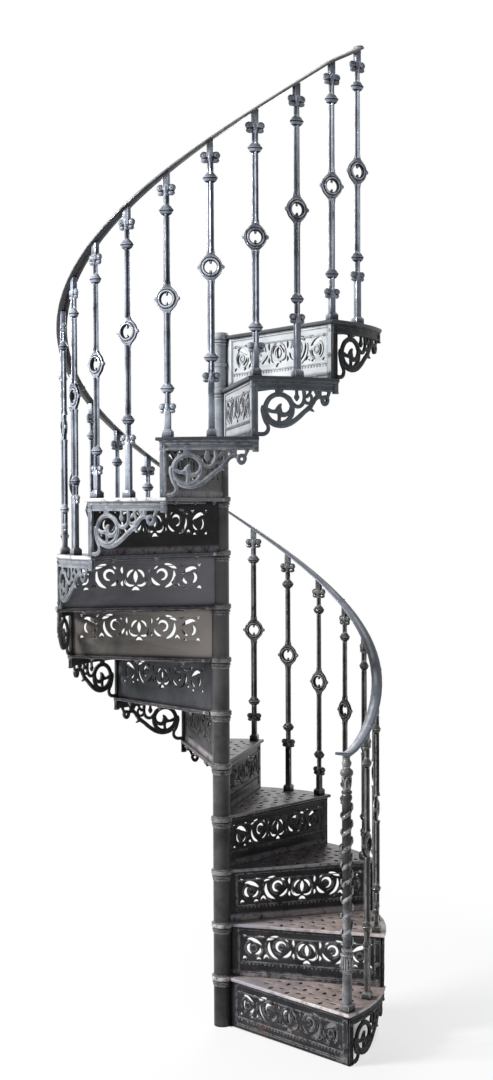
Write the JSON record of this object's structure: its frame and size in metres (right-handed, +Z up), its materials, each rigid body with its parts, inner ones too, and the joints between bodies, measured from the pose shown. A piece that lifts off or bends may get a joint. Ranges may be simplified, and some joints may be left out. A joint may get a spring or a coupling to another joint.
{
  "type": "cast-iron spiral staircase",
  "caption": "Ornamental cast-iron spiral stair climbing anticlockwise round a centre column, with pierced risers, scrolled side brackets, cast balusters, a newel and a spiral handrail.",
  "frame": {"origin": "centre of the column's foot on the floor", "axes": "+Z up the column, +X along the edge where the landing meets the top tread"},
  "size_m": [1.248, 1.248, 3.6003],
  "materials": {
    "tread_iron": "worn dark paint over cast iron, rust on the lower treads",
    "riser_paint": "grey paint, pale on the upper risers",
    "bracket_paint": "satin blue-grey to charcoal paint",
    "baluster_paint": "satin blue-grey paint with worn edges",
    "newel_paint": "worn charcoal paint",
    "rail_iron": "dark paint worn to bare iron on its edges",
    "column_paint": "satin blue-grey paint"
  },
  "bodies": {
    "root": {"balusters_long": "baluster_paint", "balusters_short": "baluster_paint", "bracket_01": "bracket_paint", "bracket_02": "bracket_paint", "bracket_03": "bracket_paint", "bracket_04": "bracket_paint", "bracket_05": "bracket_paint", "bracket_06": "bracket_paint", "bracket_07": "bracket_paint", "bracket_08": "bracket_paint", "bracket_09": "bracket_paint", "bracket_10": "bracket_paint", "bracket_11": "bracket_paint", "bracket_12": "bracket_paint", "bracket_13": "bracket_paint", "centre_column": "column_paint", "handrail_end": "rail_iron", "handrail_lower": "rail_iron", "handrail_upper": "rail_iron", "newel_post": "newel_paint", "riser_01": "riser_paint", "riser_02": "riser_paint", "riser_03": "riser_paint", "riser_04": "riser_paint", "riser_05": "riser_paint", "riser_06": "riser_paint", "riser_07": "riser_paint", "riser_08": "riser_paint", "riser_09": "riser_paint", "riser_10": "riser_paint", "riser_11": "riser_paint", "riser_12": "riser_paint", "riser_13": "riser_paint", "tread_01": "tread_iron", "tread_02": "tread_iron", "tread_03": "tread_iron", "tread_04": "tread_iron", "tread_05": "tread_iron", "tread_06": "tread_iron", "tread_07": "tread_iron", "tread_08": "tread_iron", "tread_09": "tread_iron", "tread_10": "tread_iron", "tread_11": "tread_iron", "tread_12": "tread_iron", "tread_13": "tread_iron"}
  },
  "joints": []
}
